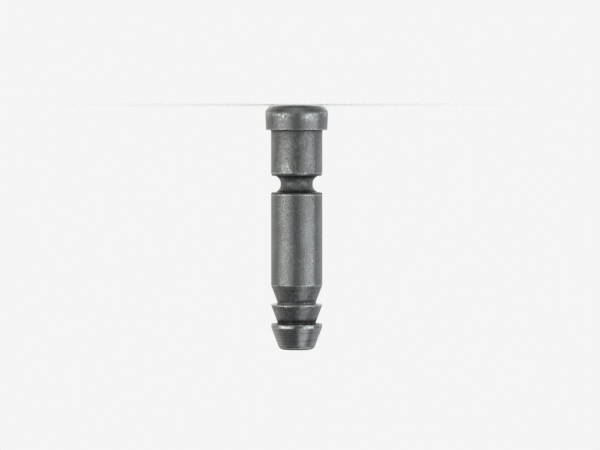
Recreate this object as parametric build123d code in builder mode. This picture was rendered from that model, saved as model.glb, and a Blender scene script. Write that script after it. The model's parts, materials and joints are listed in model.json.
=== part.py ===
from build123d import *
import os
from math import radians, tan

# Steel stop pin, turned in one piece: a head with a large round, a plain shank with one
# round-bottomed groove, and an end of ring barbs behind a blunt cone.
# Sizes are in millimetres and degrees. The pin stands on its head, so Z runs from the
# head's end face, at zero, to the barbed tip.

overall_length = 38.0

# Head: its side narrows from the end face, where the round cuts it back, towards the seat.
head_diameter = 9.86
head_seat_diameter = 9.48
head_height = 3.9
head_end_round = 1.4
head_seat_edge_break = 0.1
under_head_fillet = 0.15

# Shank, and the groove for a clip or a detent ball, placed from the head's end face. Its walls
# go straight down to an arc through its root. Its edge on the head's side is rolled down.
shank_diameter = 7.94
groove_height = 12.29
groove_width = 2.6
groove_wall_depth = 0.62
groove_root_diameter = 4.93
groove_bevel_depth = 0.12
groove_bevel_length = 0.4
groove_tip_side_break = 0.12

# Barbed end: every barb is a step, a short land and a cone down to the root behind the next
# step. The last one runs on into the tip.
barb_count = 2
barb_pitch = 3.1
barb_half_angle = 20.5
barb_crest_diameter = 7.84
barb_root_diameter = 5.98
barb_land = 0.37
barb_crest_break = 0.05
shank_cone_root_land = 0.38
last_barb_length = 3.97
last_barb_land = 0.7
tip_round = 0.88

# Two points closer than this are one corner.
match = 0.001

# Radii, and heights worked out from the two ends.
head_radius = head_diameter / 2
head_seat_radius = head_seat_diameter / 2
shank_radius = shank_diameter / 2
crest_radius = barb_crest_diameter / 2
root_radius = barb_root_diameter / 2
cone_slope = tan(radians(barb_half_angle))

last_step_height = overall_length - last_barb_length
first_step_height = last_step_height - (barb_count - 1) * barb_pitch
step_heights = [first_step_height + index * barb_pitch for index in range(barb_count)]
barb_cone_length = (crest_radius - root_radius) / cone_slope
shank_cone_length = (shank_radius - root_radius) / cone_slope
shank_end_height = first_step_height - shank_cone_root_land - shank_cone_length
tip_radius = crest_radius - (last_barb_length - last_barb_land) * cone_slope

groove_root_radius = groove_root_diameter / 2
groove_wall_foot = shank_radius - groove_wall_depth
groove_start = groove_height - groove_width / 2
groove_end = groove_height + groove_width / 2


def barb_outline(step_height):
    """Radius and height of a barb's four corners, from its root up to where its cone ends."""
    land_end = step_height + barb_land
    return [
        (root_radius, step_height),
        (crest_radius, step_height),
        (crest_radius, land_end),
        (root_radius, land_end + barb_cone_length),
    ]


def corners(profile, *places):
    """The profile's corners at the given places, each a radius and a height."""
    return [
        corner
        for corner in profile.vertices()
        for radius, height in places
        if abs(corner.X - radius) < match and abs(corner.Y - height) < match
    ]


with BuildPart() as stop_pin:
    with BuildSketch(Plane.XZ) as profile:
        with BuildLine():
            head_outline = [
                (0, 0),
                (head_radius, 0),
                (head_seat_radius, head_height),
                (shank_radius, head_height),
                (shank_radius, groove_start - groove_bevel_length),
                (shank_radius - groove_bevel_depth, groove_start),
                (groove_wall_foot, groove_start),
            ]
            shank_outline = [
                (groove_wall_foot, groove_end),
                (shank_radius, groove_end),
                (shank_radius, shank_end_height),
                (root_radius, shank_end_height + shank_cone_length),
            ]
            barbs = [corner for step in step_heights[:-1] for corner in barb_outline(step)]
            last_barb_outline = [
                (root_radius, last_step_height),
                (crest_radius, last_step_height),
                (crest_radius, last_step_height + last_barb_land),
                (tip_radius, overall_length),
                (0, overall_length),
                (0, 0),
            ]
            Polyline(*head_outline)
            ThreePointArc(head_outline[-1], (groove_root_radius, groove_height), shank_outline[0])
            Polyline(*shank_outline, *barbs, *last_barb_outline)
        make_face()

        step_crests = [(crest_radius, step) for step in step_heights]
        fillet(corners(profile, (head_radius, 0)), head_end_round)
        chamfer(corners(profile, (head_seat_radius, head_height)), head_seat_edge_break)
        fillet(corners(profile, (shank_radius, head_height)), under_head_fillet)
        chamfer(corners(profile, (shank_radius, groove_end)), groove_tip_side_break)
        chamfer(corners(profile, *step_crests), barb_crest_break)
        fillet(corners(profile, (tip_radius, overall_length)), tip_round)
    revolve(axis=Axis.Z)

stop_pin.part.label = "stop_pin"

os.makedirs("parts", exist_ok=True)
export_step(stop_pin.part, "parts/stop_pin.step")
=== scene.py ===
import json
from math import acos, atan2, cos, exp, hypot, pi, radians, sin, tan

import bpy
import numpy as np
from mathutils import Matrix, Vector, noise


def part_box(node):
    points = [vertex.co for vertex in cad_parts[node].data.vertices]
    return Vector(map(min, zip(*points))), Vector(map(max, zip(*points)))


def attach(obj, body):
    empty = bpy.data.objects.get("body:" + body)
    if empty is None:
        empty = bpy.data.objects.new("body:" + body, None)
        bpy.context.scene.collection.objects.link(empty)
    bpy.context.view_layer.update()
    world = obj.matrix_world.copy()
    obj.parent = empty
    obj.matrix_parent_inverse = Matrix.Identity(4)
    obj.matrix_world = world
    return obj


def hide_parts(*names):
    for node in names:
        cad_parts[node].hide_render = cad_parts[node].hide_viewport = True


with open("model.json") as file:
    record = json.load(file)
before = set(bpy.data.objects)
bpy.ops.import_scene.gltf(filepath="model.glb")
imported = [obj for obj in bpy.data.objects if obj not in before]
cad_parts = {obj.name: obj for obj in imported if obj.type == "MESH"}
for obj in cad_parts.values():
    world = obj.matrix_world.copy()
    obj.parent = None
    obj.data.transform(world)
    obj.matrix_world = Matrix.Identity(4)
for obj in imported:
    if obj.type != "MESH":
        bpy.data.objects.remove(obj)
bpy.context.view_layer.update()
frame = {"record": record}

# Lengths below are in millimetres, and MM turns them into the frame's metres.
MM = 0.001

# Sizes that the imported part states.
lowest, highest = (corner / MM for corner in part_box("stop_pin"))
mounts = {mount["name"]: mount for mount in frame["record"]["mounts"]}
LENGTH = highest.z - lowest.z
HEAD_HEIGHT = mounts["head_seat"]["pos_m"][2] / MM
SHANK_RADIUS = mounts["shank"]["dims"]["r_mm"]
SHANK_MOUNT_END = mounts["shank"]["pos_m"][2] / MM + mounts["shank"]["dims"]["length_mm"] / 2
GROOVE_HEIGHT = mounts["groove"]["pos_m"][2] / MM
CREST_RADIUS = mounts["barbed_end"]["dims"]["r_mm"]

# Sizes of the head, the groove, the shank's end and the barbs that the record leaves out.
HEAD_RADIUS = 4.921
HEAD_SEAT_RADIUS = 4.74
HEAD_END_ROUND = 1.4
HEAD_SEAT_EDGE_ROUND = 0.09
UNDER_HEAD_FILLET = 0.17
GROOVE_WIDTH = 2.6
GROOVE_WALL_DEPTH = 0.62
GROOVE_ROOT_RADIUS = 2.465
GROOVE_BEVEL_DEPTH = 0.15
GROOVE_BEVEL_LENGTH = 0.42
GROOVE_BEVEL_ROUND = 0.3
GROOVE_EDGE_ROUND = 0.04
GROOVE_TIP_SIDE_ROUND = 0.2
SHANK_END_PAST_MOUNT = 0.05
SHANK_END_ROUND = 0.05
BARB_COUNT = 2
BARB_PITCH = 3.1
BARB_SLOPE = tan(radians(20.5))
BARB_ROOT_RADIUS = 2.99
BARB_ROOT_FILLET = 0.03
BARB_LAND = 0.28
BARB_EDGE_ROUND = 0.03
LAST_BARB_LENGTH = 3.97
LAST_BARB_LAND = 0.56
TIP_ROUND = 0.88

# Heights worked out from these.
GROOVE_START = GROOVE_HEIGHT - GROOVE_WIDTH / 2
GROOVE_END = GROOVE_HEIGHT + GROOVE_WIDTH / 2
SHANK_END = SHANK_MOUNT_END + SHANK_END_PAST_MOUNT

# The burr on the barbs' steps. It is largest at one place on the first step, in radians from +X.
BURR_REACH = 0.06
BURR_HEIGHT = 0.03
BURR_WAVES = 3.2
LARGEST_BURR_HEIGHT = 0.06
LARGEST_BURR_ANGLE = pi + 0.35
LARGEST_BURR_REACH = 0.3

# Mesh of the turned surface.
SEGMENTS = 216
ARC_STEP = radians(9)
LONGEST_STEP = 0.15

# How the photograph was taken: its frame, the pin's place in it, and the camera's distance and tilt.
FRAME_WIDTH_PX = 600
FRAME_HEIGHT_PX = 450
PIXEL = 0.1553
AXIS_X_PX = 296.7
HEAD_TOP_Y_PX = 104.9
CAMERA_DISTANCE = 500
PIN_TILT = radians(1.58)
SENSOR_WIDTH = 36

# Light, as radiance: white is 1.
BACKGROUND = 0.91
WORLD_FRONT = 0.33
WORLD_BACK = 0.82
WORLD_BACK_MIDDLE = 0.3
WORLD_ABOVE = 0.7
WORLD_BELOW = 0.35
WORLD_BELOW_FRONT = 0.5
WORLD_BELOW_BACK = 1.7
WORLD_FRONT_RAISED = 0.084
WORLD_SIDES_RAISED = 0.225
SOFTBOX = 3.1
TIP_LIGHT = 2.25
FLOOR_LIGHT = 2.2

# Where the reflected world changes, by the parts of a direction: X aside, Y away from the camera, Z up.
BACK_BEGINS = (-0.15, 0.45)
BACK_MIDDLE_ENDS = (0.1, 0.5)
RAISED_BEGINS = (0.2, 0.5)
RAISED_SIDES_BEGIN = (0.2, 0.65)
ABOVE_BEGINS = (0.84, 0.96)
BELOW_ENDS = (-0.7, -0.1)
BELOW_FRONT_DIRECTION = (0, -0.6, -0.8)
BELOW_FRONT_BEGINS = (0.75, 1.0)
BELOW_BACK_BEGINS = (0.5, 0.8)
BELOW_BACK_ENDS_UP = (-0.25, -0.05)
HUE_TURNS = (-0.3, 0.5)

# The lights' distance from the pin's middle and their sizes, and the floor's size and fading.
LIGHT_DISTANCE = 800
STRIP_HEIGHT = 60
FLOOR_LIGHT_SIZE = 800
FLOOR_HALF = 100
FLOOR_FADES = (10, 40)

# Colours, each a lightness with its shares of red and blue beside green.
DARK_OXIDE = (0.205, 0.98, 0.975)
LIGHT_OXIDE = (0.235, 0.965, 1.015)
BARE_STEEL = (0.48, 0.957, 0.98)
# The next colour is that of dirt, and also of painted shade in corners, under the head and in the groove.
DIRT_AND_SHADE = (0.045, 1.03, 0.98)
WORLD_RIGHT_HUE = (1.0, 0.995, 1.02)
WORLD_LEFT_HUE = (1.0, 1.005, 0.96)
FLOOR_GREY = 0.873

# The finish of each stretch of the pin: how far turning marks and blotches show, how light and how
# dull the steel is, and how grainy its shine.
FINISHES = {
    "head": {"turning": 0.3, "mottle": 0.7, "level": 1.0, "dull": 0.32, "grainy": 0.8},
    "neck": {"turning": 0.3, "mottle": 1.6, "level": 1.0, "dull": 0.32, "grainy": 0.85},
    "groove": {"turning": 0.3, "mottle": 1.5, "level": 1.12, "dull": 0.4, "grainy": 0.7},
    "shank": {"turning": 0.3, "mottle": 0.7, "level": 1.0, "dull": 0.32, "grainy": 1.0},
    "cones": {"turning": 1.0, "mottle": 2.0, "level": 0.98, "dull": 0.38, "grainy": 2.0},
    "first_lands": {"turning": 0.5, "mottle": 0.5, "level": 1.25, "dull": 0.32, "grainy": 0.6},
    "last_land": {"turning": 0.5, "mottle": 0.5, "level": 0.93, "dull": 0.32, "grainy": 0.6},
    "tip": {"turning": 2.0, "mottle": 0.8, "level": 1.36, "dull": 0.3, "grainy": 0.5},
}

# Noise in the material: its waves in a millimetre, across the pin and along it.
CLOUD_WAVES = (0.5, 0.3)
BLOTCH_WAVES = (2.8, 1.4)
GRAIN_WAVES = (6.0, 2.7)
FINE_WAVES = (9.0, 3.8)
TURNING_WAVES = (0.12, 5.0)
RELIEF_DEPTH = 0.01

# How near to a bend of the outline wear, and dirt with painted shade, start, and the bend, in radians,
# that has them in full.
EDGE_REACH = 0.12
FULL_EDGE = 1.1
CORNER_REACH = 0.4
FULL_CORNER = 1.2

# The head's worn band and patch, the patch partly wear and partly a painted highlight: the heights between
# which both come in, where the band ends on average and how far it fades either way, and the heights
# between which the patch fades.
BAND_COMES_IN = (1.02, 1.12)
BAND_END = 1.95
BAND_FADE = 0.5
PATCH_FADES = (1.9, 3.0)

# Narrow rings of the head that are worn bright and carry a painted highlight: the height of each and its
# reach.
END_FACE_RING = (0.06, 0.16)
END_ROUND_RING = (1.22, 0.14)

# Heights between which the head darkens as painted shade, the neck lightens and the neck's wear and
# painted highlight come in.
HEAD_DARKENS = (HEAD_HEIGHT - 1.5, HEAD_HEIGHT - 0.5)
NECK_LIGHTENS = (HEAD_HEIGHT + 1.0, HEAD_HEIGHT + 2.2)
NECK_WEAR_COMES_IN = (8.2, 9.6)

# Uneven places of the seen side, each a direction in degrees from +X round the pin and its reach in
# radians. The photograph's camera looks from -90 degrees and has +X on its left. The two strips are where
# the lights reflect, and the groove's floor carries painted reflections there. The head's middle and the
# neck's shaded side hold painted shade, the head's patch and the neck's lit side are partly wear and
# partly painted highlight, the tip's place is a painted highlight, the smooth side has less grain and the
# cone's place holds dirt. The last two are also bound to a height and its reach.
LEFT_STRIP_REFLECTION = (-65, 0.33)
RIGHT_STRIP_REFLECTION = (-118, 0.33)
HEAD_SHADED_MIDDLE = (-89, 0.2)
HEAD_WORN_HIGHLIT_PATCH = (-110, 0.32)
NECK_WORN_HIGHLIT_SIDE = (-70, 0.42)
NECK_SHADED_SIDE = (-124, 0.3)
SMOOTH_SIDE = (-116, 0.5)
TIP_HIGHLIGHT_PLACE = (-119, 0.28)
TIP_HIGHLIGHT_HEIGHT = (LENGTH - 0.38, 0.12)
CONE_DIRT_PLACE = (-80, 0.12)
CONE_DIRT_HEIGHT = (SHANK_END + 0.85, 0.3)

# Places of the lands given more or less wear, as painted highlights where the lights reflect and painted
# shade between them: direction, reach and the wear added.
LAND_HIGHLIGHT_AND_SHADE_PLACES = [(-65, 0.36, 0.7), (-112, 0.26, 0.3), (-88, 0.18, -0.25)]

# Small bright nicks: height, angle in degrees and how bright each is.
NICKS = [(4.33, -109, 0.6), (16.4, -112, 0.35), (24.2, -69, 0.55), (27.3, -75, 0.5), (21.1, 40, 0.4)]
NICK_REACH = 0.11

# Thin bright lines beside the groove and at the shank's end, worn edges that also carry a painted
# highlight: height and how bright each is.
BRIGHT_LINES = [
    (GROOVE_START - GROOVE_BEVEL_LENGTH + 0.05, 0.52),
    (GROOVE_END + 0.4, 0.62),
    (SHANK_END + 0.02, 0.5),
]
LINE_REACH = 0.15


def arc(centre, radius, start, end):
    """Points of an arc in the profile's plane, from one angle to another, both ends included."""
    count = max(2, round(abs(end - start) / ARC_STEP) + 1)
    angles = np.linspace(start, end, count)
    return [(centre[0] + radius * cos(a), centre[1] + radius * sin(a)) for a in angles]


def rounded(corners):
    """A chain of corners, each a radius, a height and a round, as points with the rounds drawn."""
    points = []
    for index, (r, z, round_radius) in enumerate(corners):
        corner = Vector((r, z))
        if round_radius == 0 or index in (0, len(corners) - 1):
            points.append((r, z))
            continue
        before = (Vector(corners[index - 1][:2]) - corner).normalized()
        after = (Vector(corners[index + 1][:2]) - corner).normalized()
        half = acos(max(-1, min(1, before.dot(after)))) / 2
        centre = corner + (before + after).normalized() * round_radius / sin(half)
        starts = corner + before * round_radius / tan(half) - centre
        ends = corner + after * round_radius / tan(half) - centre
        start, end = atan2(starts.y, starts.x), atan2(ends.y, ends.x)
        turn = (end - start + pi) % (2 * pi) - pi
        points += arc(centre, round_radius, start, start + turn)
    return points


def groove_floor():
    """The groove's arc between the feet of its straight walls, both feet left out."""
    half = GROOVE_WIDTH / 2
    rise = SHANK_RADIUS - GROOVE_WALL_DEPTH - GROOVE_ROOT_RADIUS
    radius = (half**2 + rise**2) / (2 * rise)
    reach = atan2(half, radius - rise)
    return arc((GROOVE_ROOT_RADIUS + radius, GROOVE_HEIGHT), radius, reach - pi, -reach - pi)[1:-1]


def step_heights():
    """Heights of the barbs' steps, the last barb's being the last."""
    last_step = LENGTH - LAST_BARB_LENGTH
    return [last_step - BARB_PITCH * back for back in range(BARB_COUNT - 1, -1, -1)]


def head_corners():
    """Corners of the outline from the head's end face to the foot of the groove's first wall."""
    return [
        (0, 0, 0),
        (HEAD_RADIUS, 0, HEAD_END_ROUND),
        (HEAD_SEAT_RADIUS, HEAD_HEIGHT, HEAD_SEAT_EDGE_ROUND),
        (SHANK_RADIUS, HEAD_HEIGHT, UNDER_HEAD_FILLET),
        (SHANK_RADIUS, GROOVE_START - GROOVE_BEVEL_LENGTH, GROOVE_BEVEL_ROUND),
        (SHANK_RADIUS - GROOVE_BEVEL_DEPTH, GROOVE_START, GROOVE_EDGE_ROUND),
        (SHANK_RADIUS - GROOVE_WALL_DEPTH, GROOVE_START, 0),
    ]


def shank_corners():
    """Corners from the foot of the groove's second wall to the root ahead of the first barb."""
    shank_cone = (SHANK_RADIUS - BARB_ROOT_RADIUS) / BARB_SLOPE
    return [
        (SHANK_RADIUS - GROOVE_WALL_DEPTH, GROOVE_END, 0),
        (SHANK_RADIUS, GROOVE_END, GROOVE_TIP_SIDE_ROUND),
        (SHANK_RADIUS, SHANK_END, SHANK_END_ROUND),
        (BARB_ROOT_RADIUS, SHANK_END + shank_cone, BARB_ROOT_FILLET),
    ]


def barb_corners(step):
    """A barb's step, land and cone, down to the root behind the next step."""
    cone = (CREST_RADIUS - BARB_ROOT_RADIUS) / BARB_SLOPE
    return [
        (BARB_ROOT_RADIUS, step, BARB_ROOT_FILLET),
        (CREST_RADIUS, step, BARB_EDGE_ROUND),
        (CREST_RADIUS, step + BARB_LAND, BARB_EDGE_ROUND),
        (BARB_ROOT_RADIUS, step + BARB_LAND + cone, BARB_ROOT_FILLET),
    ]


def last_barb_corners(step):
    """The last barb's step and land, and its cone, which runs on into the tip."""
    tip_radius = CREST_RADIUS - (LAST_BARB_LENGTH - LAST_BARB_LAND) * BARB_SLOPE
    return [
        (BARB_ROOT_RADIUS, step, BARB_ROOT_FILLET),
        (CREST_RADIUS, step, BARB_EDGE_ROUND),
        (CREST_RADIUS, step + LAST_BARB_LAND, BARB_EDGE_ROUND),
        (tip_radius, LENGTH, TIP_ROUND),
        (0, LENGTH, 0),
    ]


def profile_points():
    """The pin's outline as radius and height, from the head's end face to the tip."""
    *steps, last_step = step_heights()
    barbed_end = shank_corners()
    for step in steps:
        barbed_end += barb_corners(step)
    barbed_end += last_barb_corners(last_step)
    return rounded(head_corners()) + groove_floor() + rounded(barbed_end)


def divided(points):
    """The same outline with no step much longer than LONGEST_STEP."""
    finer = [points[0]]
    for (r0, z0), (r1, z1) in zip(points, points[1:]):
        count = max(1, round(hypot(r1 - r0, z1 - z0) / LONGEST_STEP + 0.49))
        finer += [(r0 + (r1 - r0) * k / count, z0 + (z1 - z0) * k / count) for k in range(1, count + 1)]
    return finer


def smooth_step(low, high, value):
    """0 up to low, 1 from high on and a smooth rise between them."""
    t = min(1, max(0, (value - low) / (high - low)))
    return t * t * (3 - 2 * t)


def hump(value, centre, reach):
    """1 at the centre, falling smoothly towards 0 past its reach."""
    return exp(-(((value - centre) / reach) ** 2))


def turn_from(angle, centre):
    """How far an angle is from another, in radians, the short way round."""
    return abs((angle - centre + pi) % (2 * pi) - pi)


def near(angle, degrees, reach):
    """A hump round the pin, about a direction in degrees and with its reach in radians."""
    return hump(turn_from(angle, radians(degrees)), 0, reach)


def edge_burr(r, z, angle):
    """How far the steps' edges stand out, unevenly, where they were rolled over."""
    burr = 0
    for index, step in enumerate(step_heights()):
        at_edge = hump(z, step, BURR_REACH) * (r > CREST_RADIUS - BURR_REACH)
        ragged = noise.noise(Vector((BURR_WAVES * cos(angle), BURR_WAVES * sin(angle), 5 * index)))
        burr += at_edge * BURR_HEIGHT * (1 + ragged)
        if index == 0:
            from_largest = turn_from(angle, LARGEST_BURR_ANGLE)
            burr += at_edge * LARGEST_BURR_HEIGHT * hump(from_largest, 0, LARGEST_BURR_REACH)
    return burr


def turned_pin(outline):
    """The pin as one closed turned mesh, with a slight burr on its barbs."""
    vertices = []
    for r, z in outline:
        for k in range(SEGMENTS):
            angle = 2 * pi * k / SEGMENTS
            radius = r + edge_burr(r, z, angle)
            vertices.append((radius * cos(angle), radius * sin(angle), z))
    head_centre, tip_centre = len(vertices), len(vertices) + 1
    vertices += [(0, 0, 0), (0, 0, LENGTH)]
    faces = []
    for row in range(len(outline) - 1):
        for k in range(SEGMENTS):
            low, next_k = row * SEGMENTS, (k + 1) % SEGMENTS
            faces.append((low + k, low + next_k, low + SEGMENTS + next_k, low + SEGMENTS + k))
    top = (len(outline) - 1) * SEGMENTS
    for k in range(SEGMENTS):
        next_k = (k + 1) % SEGMENTS
        faces.append((head_centre, next_k, k))
        faces.append((tip_centre, top + k, top + next_k))
    mesh = bpy.data.meshes.new("turned_pin")
    mesh.from_pydata([Vector(v) * MM for v in vertices], [], faces)
    mesh.shade_smooth()
    pin = bpy.data.objects.new("turned_pin", mesh)
    bpy.context.scene.collection.objects.link(pin)
    return pin


def bends(outline, reach, side):
    """How far the outline turns, in radians, near each point: outwards for side 1, inwards for -1."""
    points = np.array(outline)
    steps = np.diff(points, axis=0)
    lengths = np.hypot(steps[:, 0], steps[:, 1])
    along = np.concatenate(([0], np.cumsum(lengths)))
    headings = np.unwrap(np.arctan2(steps[:, 1], steps[:, 0]))
    turns = np.zeros(len(points))
    turns[1:-1] = np.diff(headings)
    turns = np.clip(side * turns, 0, None)
    closeness = np.exp(-(((along[:, None] - along[None, :]) / reach) ** 2))
    return closeness @ turns


def lands():
    """Where each barb's land starts and ends."""
    lengths = [BARB_LAND] * (BARB_COUNT - 1) + [LAST_BARB_LAND]
    return [(step, step + length) for step, length in zip(step_heights(), lengths)]


def stretch(z):
    """The name of the stretch of the pin that a height lies in."""
    *first_lands, last_land = lands()
    if last_land[0] < z < last_land[1]:
        return "last_land"
    if any(start < z < end for start, end in first_lands):
        return "first_lands"
    ends = {
        "head": HEAD_HEIGHT,
        "neck": GROOVE_START,
        "groove": GROOVE_END,
        "shank": SHANK_END,
        "cones": step_heights()[-1],
    }
    return next((name for name, end in ends.items() if z < end), "tip")


def head_wear_and_painted_light(z, angle, cloud, fine):
    """Wear on the head: a ragged band past the end's round with painted shade in its middle, a patch
    beside it that is partly a painted highlight, and two bright rings of wear and painted highlight.
    """
    comes_in = smooth_step(*BAND_COMES_IN, z)
    band_end = BAND_END + 0.6 * cloud + 0.7 * fine
    band = comes_in * (1 - smooth_step(band_end - BAND_FADE, band_end + BAND_FADE, z))
    # Painted shade: the band is worn less in its middle.
    band *= 1 - 0.5 * near(angle, *HEAD_SHADED_MIDDLE)
    # The patch is partly wear and partly a painted highlight where the right light reflects.
    worn_highlit_patch = comes_in * (1 - smooth_step(*PATCH_FADES, z)) * near(angle, *HEAD_WORN_HIGHLIT_PATCH)
    # The rings are wear that also carries a painted highlight.
    worn_highlit_rings = max(0.42 * hump(z, *END_FACE_RING), 0.45 * hump(z, *END_ROUND_RING))
    return max(band * (0.47 + 0.15 * fine), worn_highlit_patch * (0.52 + 0.3 * fine), worn_highlit_rings)


def wear_and_painted_light_at(r, z, angle, edge):
    """How far the dark finish is worn off, plus painted highlights and shade: 0 is not at all, and 1 is
    down to the steel.
    """
    place = Vector((r * cos(angle), r * sin(angle), z))
    cloud = noise.noise(place * 0.9)
    fine = noise.noise(place * 2.4 + Vector((9, 3, 5)))
    wear_and_painted_light = edge * (0.7 + 0.5 * fine)
    if z < HEAD_HEIGHT:
        wear_and_painted_light = max(wear_and_painted_light, head_wear_and_painted_light(z, angle, cloud, fine))
    from_groove = abs(z - GROOVE_HEIGHT) - GROOVE_WIDTH / 2
    wear_and_painted_light *= 1 - 0.9 * hump(from_groove, 0.1, 0.2)
    for start, end in lands():
        if start < z < end:
            wear_and_painted_light = max(wear_and_painted_light, 0.36 - 0.1 * (z - start) / (end - start) + 0.4 * fine)
            # Painted highlights where the lights reflect on the lands, and painted shade between them.
            for degrees, reach, more in LAND_HIGHLIGHT_AND_SHADE_PLACES:
                wear_and_painted_light += more * near(angle, degrees, reach)
    # A painted highlight on the tip's rim.
    wear_and_painted_light += 1.4 * hump(z, *TIP_HIGHLIGHT_HEIGHT) * near(angle, *TIP_HIGHLIGHT_PLACE)
    for nick_height, nick_angle, bright in NICKS:
        across = SHANK_RADIUS * turn_from(angle, radians(nick_angle))
        wear_and_painted_light += bright * hump(z, nick_height, NICK_REACH) * hump(across, 0, NICK_REACH)
    # Wear on the neck's lower part, partly a painted highlight on its lit side.
    low_on_neck = smooth_step(*NECK_WEAR_COMES_IN, z) * (z < GROOVE_START)
    wear_and_painted_light += 0.3 * low_on_neck * near(angle, *NECK_WORN_HIGHLIT_SIDE)
    return wear_and_painted_light


def groove_dirt_and_shade(z, streak):
    """Dirt and painted shade in the groove: thin on its floor, streaked beside its walls and thick along
    its edges.
    """
    from_middle = abs(z - GROOVE_HEIGHT) / (GROOVE_WIDTH / 2)
    dirt_and_shade = 0.75 * hump(from_middle, 1.06, 0.1)
    if from_middle < 1:
        dirt_and_shade = max(dirt_and_shade, 0.2, smooth_step(0.45, 0.85, from_middle) * (0.8 + 0.6 * streak))
    return dirt_and_shade


def dirt_and_shade_at(r, z, angle, corner):
    """How thickly dirt and painted shade lie: 0 is clean. They lie in the barbs' roots, under the head and
    in the groove.
    """
    place = Vector((r * cos(angle), r * sin(angle), z))
    fine = noise.noise(place * 3 + Vector((2, 7, 1)))
    streak = noise.noise(Vector((2.2 * cos(angle) * r, 2.2 * sin(angle) * r, 0.3 * z)))
    broad = noise.noise(place * 1.1 + Vector((4, 1, 8)))
    first_root, last_root = step_heights()[0], step_heights()[-1]
    # Inner corners get dirt and painted shade.
    dirt_and_shade = corner * (0.9 + 0.5 * fine)
    if z < HEAD_HEIGHT + 0.5:
        dirt_and_shade *= 0.6
    if SHANK_END < z <= first_root:
        dirt_and_shade *= 0.4
    dirt_and_shade = max(dirt_and_shade, groove_dirt_and_shade(z, streak))
    # Before the last step, dirt and painted shade darken the root.
    if z < last_root:
        near_root = smooth_step(last_root - 1.2, last_root - 0.55, z)
        dirt_and_shade = max(dirt_and_shade, near_root * (0.62 + 0.6 * broad + 0.5 * fine))
    on_cone = hump(z, *CONE_DIRT_HEIGHT) * near(angle, *CONE_DIRT_PLACE)
    return max(dirt_and_shade, on_cone * (0.8 + 0.6 * fine))


def lightness_and_painted_light_at(z, angle):
    """How light the finish is, with painted reflections on the groove's floor and painted shade and
    highlights on the head and neck.
    """
    name = stretch(z)
    level = FINISHES[name]["level"]
    left, right = near(angle, *LEFT_STRIP_REFLECTION), near(angle, *RIGHT_STRIP_REFLECTION)
    if name == "head":
        # Painted shade on the head's lower side where the right light reflects.
        level -= 0.16 * smooth_step(*HEAD_DARKENS, z) * right
    if name == "neck":
        lightens = smooth_step(*NECK_LIGHTENS, z)
        level *= 0.88 + 0.12 * lightens
        # A painted highlight on the neck's lit side and painted shade on its other side.
        level += 0.17 * lightens * near(angle, *NECK_WORN_HIGHLIT_SIDE)
        level -= 0.04 * near(angle, *NECK_SHADED_SIDE)
    if name == "groove":
        # Painted reflections of the two light strips on the groove's floor.
        level += 0.4 * hump(z, GROOVE_HEIGHT + 0.15, 0.4) * (left + right)
    return level


def paint(pin, outline):
    """Writes the finish of each point: its wear with painted highlights, its dirt with painted shade, its
    lightness with painted light and shade, and that of its stretch.
    """
    edges = np.clip(bends(outline, EDGE_REACH, 1) / FULL_EDGE, 0, 1)
    corners = np.clip(bends(outline, CORNER_REACH, -1) / FULL_CORNER, 0, 1)
    painted = {name: [] for name in ("wear_and_painted_light", "dirt_and_shade", "turning", "mottle", "level", "dull", "grainy")}
    for (r, z), edge, corner in zip(outline, edges, corners):
        finish = FINISHES[stretch(z)]
        for k in range(SEGMENTS):
            angle = 2 * pi * k / SEGMENTS
            smoother = 1 - 0.3 * near(angle, *SMOOTH_SIDE)
            painted["wear_and_painted_light"].append(wear_and_painted_light_at(r, z, angle, edge))
            painted["dirt_and_shade"].append(dirt_and_shade_at(r, z, angle, corner))
            painted["level"].append(lightness_and_painted_light_at(z, angle))
            painted["grainy"].append(finish["grainy"] * smoother)
            for name in ("turning", "mottle", "dull"):
                painted[name].append(finish[name])
    for name, values in painted.items():
        attribute = pin.data.attributes.new(name, "FLOAT", "POINT")
        # The two points on the axis take the finish of the rings next to them.
        values += [values[0], values[-1]]
        attribute.data.foreach_set("value", np.clip(values, 0, 2).astype(np.float32))


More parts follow.
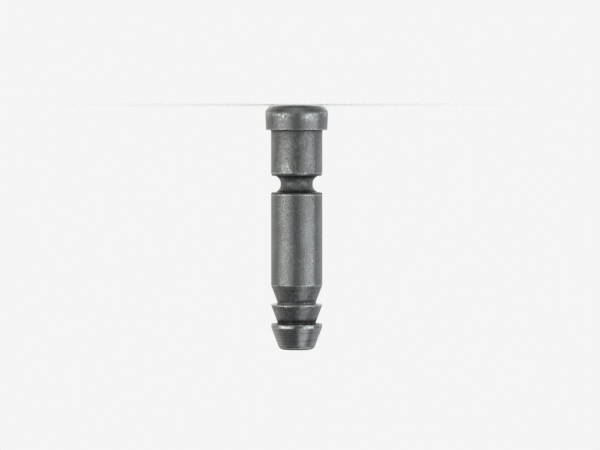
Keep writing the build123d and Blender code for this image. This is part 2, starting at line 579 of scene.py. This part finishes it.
class Nodes:
    """Short calls for building a node tree."""

    def __init__(self, tree):
        self.nodes, self.links = tree.nodes, tree.links

    def add(self, kind, inputs=None, **settings):
        node = self.nodes.new("ShaderNode" + kind)
        for name, value in settings.items():
            setattr(node, name, value)
        for name, value in (inputs or {}).items():
            self.set(node.inputs[name], value)
        return node

    def set(self, socket, value):
        if isinstance(value, bpy.types.NodeSocket):
            self.links.new(value, socket)
        else:
            socket.default_value = value

    def math(self, operation, a, b=0.0):
        return self.add("Math", {0: a, 1: b}, operation=operation).outputs[0]

    def sum(self, *terms):
        total = terms[0]
        for term in terms[1:]:
            total = self.math("ADD", total, term)
        return total

    def times(self, a, b):
        return self.math("MULTIPLY", a, b)

    def weighted(self, start, *terms):
        """A starting value plus every other value times its share."""
        return self.sum(start, *(self.times(value, share) for value, share in terms))

    def dot(self, a, b):
        return self.add("VectorMath", {0: a, 1: b}, operation="DOT_PRODUCT").outputs["Value"]

    def dimmed(self, colour, level):
        return self.add("VectorMath", {0: colour, 1: level}, operation="MULTIPLY").outputs[0]

    def span(self, value, low, high, to_low=0.0, to_high=1.0):
        inputs = {"Value": value, "From Min": low, "From Max": high, "To Min": to_low, "To Max": to_high}
        return self.add("MapRange", inputs).outputs[0]

    def line(self, value, centre, reach, strength):
        off = self.math("ABSOLUTE", self.math("SUBTRACT", value, centre))
        return self.span(off, 0.0, reach, strength, 0.0)

    def stretched(self, vector, across, along):
        return self.add("Mapping", {"Vector": vector, "Scale": (across, across, along)}).outputs[0]

    def noise(self, vector, detail=2.0, rough=0.5):
        """Noise about 0, mostly within 0.2 of it."""
        inputs = {"Vector": vector, "Scale": 1.0, "Detail": detail, "Roughness": rough}
        return self.math("SUBTRACT", self.add("TexNoise", inputs).outputs[0], 0.5)

    def mix(self, factor, a, b):
        node = self.add("Mix", data_type="RGBA")
        self.set(node.inputs["Factor"], factor)
        self.set(node.inputs[6], a)
        self.set(node.inputs[7], b)
        return node.outputs[2]

    def attribute(self, name):
        return self.add("Attribute", attribute_name=name).outputs["Fac"]


def tint(value, red=1.0, blue=1.0):
    """A colour from its lightness and its shares of red and blue beside green."""
    return (value * red, value, value * blue, 1)


def steel_noises(n, mm):
    """The noises that the finish is made of: broad clouds, blotches, grain, finer grain, turning marks."""
    mottle, grainy, turning = (n.attribute(name) for name in ("mottle", "grainy", "turning"))
    cloud = n.noise(n.stretched(mm, *CLOUD_WAVES))
    blotch = n.times(n.noise(n.stretched(mm, *BLOTCH_WAVES)), mottle)
    grain = n.times(n.noise(n.stretched(mm, *GRAIN_WAVES), 1.0), grainy)
    fine = n.times(n.noise(n.stretched(mm, *FINE_WAVES), 0.0), grainy)
    marks = n.times(n.noise(n.stretched(mm, *TURNING_WAVES), 3.0, 0.7), turning)
    return cloud, blotch, grain, fine, marks


def bare_and_highlit_share(n, mm, blotch, grain):
    """How far the steel is bare, from painted wear with painted highlights, the bright lines and
    raggedness.
    """
    height = n.add("SeparateXYZ", {0: mm}).outputs["Z"]
    worn_highlit_lines = n.sum(*(n.line(height, at, LINE_REACH, bright) for at, bright in BRIGHT_LINES))
    bare_and_highlit = n.weighted(n.sum(n.attribute("wear_and_painted_light"), worn_highlit_lines), (blotch, 0.9), (grain, 0.9))
    return n.span(bare_and_highlit, 0.2, 0.65)


def steel_material():
    """Dark oxide on turned steel: grainy and clouded, worn bright on edges with painted highlights, dirty
    and painted with shade in its corners.
    """
    material = bpy.data.materials.new("black_oxide_steel")
    material.use_nodes = True
    n = Nodes(material.node_tree)
    shader = n.nodes["Principled BSDF"]
    mm = n.stretched(n.add("TexCoord").outputs["Object"], 1 / MM, 1 / MM)
    dirt_and_shade, level, dull = (n.attribute(name) for name in ("dirt_and_shade", "level", "dull"))
    cloud, blotch, grain, fine, marks = steel_noises(n, mm)

    shade = n.weighted(1.0, (cloud, 0.25), (blotch, 0.5), (grain, 0.35), (marks, 0.9), (fine, 0.4))
    oxide = n.mix(n.span(cloud, -0.15, 0.15), tint(*DARK_OXIDE), tint(*LIGHT_OXIDE))
    # The level carries painted light and shade besides each stretch's lightness.
    oxide = n.dimmed(oxide, n.times(shade, level))
    bare = n.dimmed(tint(*BARE_STEEL)[:3], level)
    # The bare share is partly wear and partly painted highlight.
    bare_and_highlit = bare_and_highlit_share(n, mm, blotch, grain)
    # Dirt and painted shade darken the colour towards the dark dirt colour.
    dirt_and_shade_share = n.span(n.weighted(dirt_and_shade, (grain, 0.8), (blotch, 0.5)), 0.2, 0.8, 0.0, 0.85)
    colour = n.mix(dirt_and_shade_share, n.mix(bare_and_highlit, oxide, bare), tint(*DIRT_AND_SHADE))
    n.set(shader.inputs["Base Color"], colour)
    shader.inputs["Metallic"].default_value = 1

    rough = n.weighted(dull, (blotch, 0.12), (grain, 0.22), (fine, 0.13), (marks, 0.1))
    rough = n.weighted(rough, (bare_and_highlit, -0.04), (dirt_and_shade, 0.25))
    n.set(shader.inputs["Roughness"], rough)

    relief = n.weighted(grain, (blotch, 1.0), (fine, 0.8), (marks, 1.6))
    bump = n.add("Bump", {"Height": relief, "Strength": 1.0, "Distance": RELIEF_DEPTH * MM})
    n.set(shader.inputs["Normal"], bump.outputs[0])
    return material


def floor_material():
    """A pale dull grey that turns clear away from the pin."""
    material = bpy.data.materials.new("floor")
    material.use_nodes = True
    n = Nodes(material.node_tree)
    shader = n.nodes["Principled BSDF"]
    shader.inputs["Base Color"].default_value = tint(FLOOR_GREY)
    shader.inputs["Roughness"].default_value = 1
    shader.inputs["Specular IOR Level"].default_value = 0
    place = n.add("TexCoord").outputs["Object"]
    away = n.add("VectorMath", {0: place}, operation="LENGTH").outputs["Value"]
    fade = n.span(away, *(distance * MM for distance in FLOOR_FADES))
    clear = n.add("BsdfTransparent")
    mixed = n.add("MixShader", {0: fade, 1: shader.outputs[0], 2: clear.outputs[0]})
    n.set(n.nodes["Material Output"].inputs["Surface"], mixed.outputs[0])
    return material


def make_stage():
    """A pale floor that fades into the background well away from the pin."""
    mesh = bpy.data.meshes.new("floor")
    half = FLOOR_HALF * MM
    corners = [(-half, -half, 0), (half, -half, 0), (half, half, 0), (-half, half, 0)]
    mesh.from_pydata(corners, [], [(0, 1, 2, 3)])
    floor = bpy.data.objects.new("floor", mesh)
    bpy.context.scene.collection.objects.link(floor)
    floor.visible_glossy = False
    mesh.materials.append(floor_material())


def softbox(name, azimuth, elevation, width, height, radiance, colour=(1, 1, 1)):
    """An area light aimed at the pin's middle, with its azimuth in degrees from -Y towards +X."""
    azimuth, elevation = radians(azimuth), radians(elevation)
    light = bpy.data.lights.new(name, "AREA")
    light.shape = "RECTANGLE"
    light.size, light.size_y = width * MM, height * MM
    light.energy = radiance * pi * light.size * light.size_y
    light.color = colour
    lamp = bpy.data.objects.new(name, light)
    aim = Vector((0, 0, LENGTH / 2 * MM))
    back = Vector((sin(azimuth) * cos(elevation), -cos(azimuth) * cos(elevation), sin(elevation)))
    lamp.location = aim + back * LIGHT_DISTANCE * MM
    lamp.rotation_mode = "QUATERNION"
    lamp.rotation_quaternion = (-back).to_track_quat("-Z", "Y")
    lamp.visible_camera = False
    bpy.context.scene.collection.objects.link(lamp)
    return lamp


def make_lights():
    """A strip with a wider fill on each side, a light for the tip and one for the floor alone."""
    softbox("left_softbox", 55.5, 4, 500, STRIP_HEIGHT, SOFTBOX, (0.995, 0.985, 0.985))
    softbox("left_fill", 54, 4, 1190, STRIP_HEIGHT, SOFTBOX, (1, 0.985, 0.985))
    softbox("right_softbox", -60, 4, 740, STRIP_HEIGHT, SOFTBOX, (0.98, 1, 1.012))
    softbox("right_fill", -50.3, 4, 1090, STRIP_HEIGHT, SOFTBOX, (0.98, 1, 1.012))
    softbox("tip_light", -38, 41, 580, 160, TIP_LIGHT, (0.97, 1, 1.02))
    overhead = softbox("floor_light", 0, 89, FLOOR_LIGHT_SIZE, FLOOR_LIGHT_SIZE, FLOOR_LIGHT)
    overhead.visible_glossy = False


def world_level(n, direction, aside, away, up):
    """The light that reflections show: dark before the pin, paler behind, above and below it."""
    back = n.span(aside, *BACK_MIDDLE_ENDS, WORLD_BACK_MIDDLE - WORLD_FRONT, WORLD_BACK - WORLD_FRONT)
    raised = n.span(aside, *RAISED_SIDES_BEGIN, WORLD_FRONT_RAISED, WORLD_SIDES_RAISED)
    front = n.span(up, *RAISED_BEGINS, WORLD_FRONT, raised)
    around = n.sum(n.times(back, n.span(away, *BACK_BEGINS)), front)
    above = n.span(up, *ABOVE_BEGINS, 0.0, WORLD_ABOVE)
    below = n.span(up, *BELOW_ENDS, WORLD_BELOW, 0.0)
    below_front = n.dot(direction, BELOW_FRONT_DIRECTION)
    before = n.span(below_front, *BELOW_FRONT_BEGINS, 0.0, WORLD_BELOW_FRONT)
    far_side = n.span(away, *BELOW_BACK_BEGINS, 0.0, WORLD_BELOW_BACK)
    behind = n.times(far_side, n.span(up, *BELOW_BACK_ENDS_UP, 1.0, 0.0))
    level = n.math("MAXIMUM", n.math("MAXIMUM", around, below), n.math("MAXIMUM", above, behind))
    return n.sum(level, before)


def make_world():
    """Pale all round to the camera, while reflections show uneven light."""
    world = bpy.data.worlds.new("studio")
    world.use_nodes = True
    n = Nodes(world.node_tree)
    direction = n.add("TexCoord").outputs["Generated"]
    x, away, up = n.add("SeparateXYZ", {0: direction}).outputs
    level = world_level(n, direction, n.math("ABSOLUTE", x), away, up)
    hue = n.mix(n.span(x, *HUE_TURNS), tint(*WORLD_RIGHT_HUE), tint(*WORLD_LEFT_HUE))
    lit = n.nodes["Background"]
    n.set(lit.inputs["Color"], n.dimmed(hue, level))
    shown = n.add("Background", {"Color": tint(BACKGROUND)})
    camera_ray = n.add("LightPath").outputs["Is Camera Ray"]
    mixed = n.add("MixShader", {0: camera_ray, 1: lit.outputs[0], 2: shown.outputs[0]})
    n.set(n.nodes["World Output"].inputs["Surface"], mixed.outputs[0])
    bpy.context.scene.world = world


def make_camera():
    """The photograph's camera, as far from the pin and as tilted to it as it was there."""
    data = bpy.data.cameras.new("camera")
    data.sensor_width = SENSOR_WIDTH
    data.lens = SENSOR_WIDTH * CAMERA_DISTANCE / (FRAME_WIDTH_PX * PIXEL)
    camera = bpy.data.objects.new("camera", data)
    aim = Vector((
        (AXIS_X_PX - FRAME_WIDTH_PX / 2) * PIXEL,
        0,
        (FRAME_HEIGHT_PX / 2 - HEAD_TOP_Y_PX) * PIXEL,
    ))
    back = Vector((0, -cos(PIN_TILT), -sin(PIN_TILT)))
    right = Vector((-1, 0, 0))
    up = back.cross(right)
    turned = Matrix((right, up, back)).transposed().to_4x4()
    camera.matrix_world = Matrix.Translation((aim + back * CAMERA_DISTANCE) * MM) @ turned
    bpy.context.scene.collection.objects.link(camera)
    bpy.context.scene.camera = camera


# The outline's two ends lie on the axis, where the mesh has a point of its own.
outline = divided(profile_points())[1:-1]
pin = turned_pin(outline)
paint(pin, outline)
pin.data.materials.append(steel_material())
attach(pin, "root")
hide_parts("stop_pin")

make_stage()
make_world()
make_lights()
make_camera()
bpy.context.scene.view_settings.view_transform = "Standard"
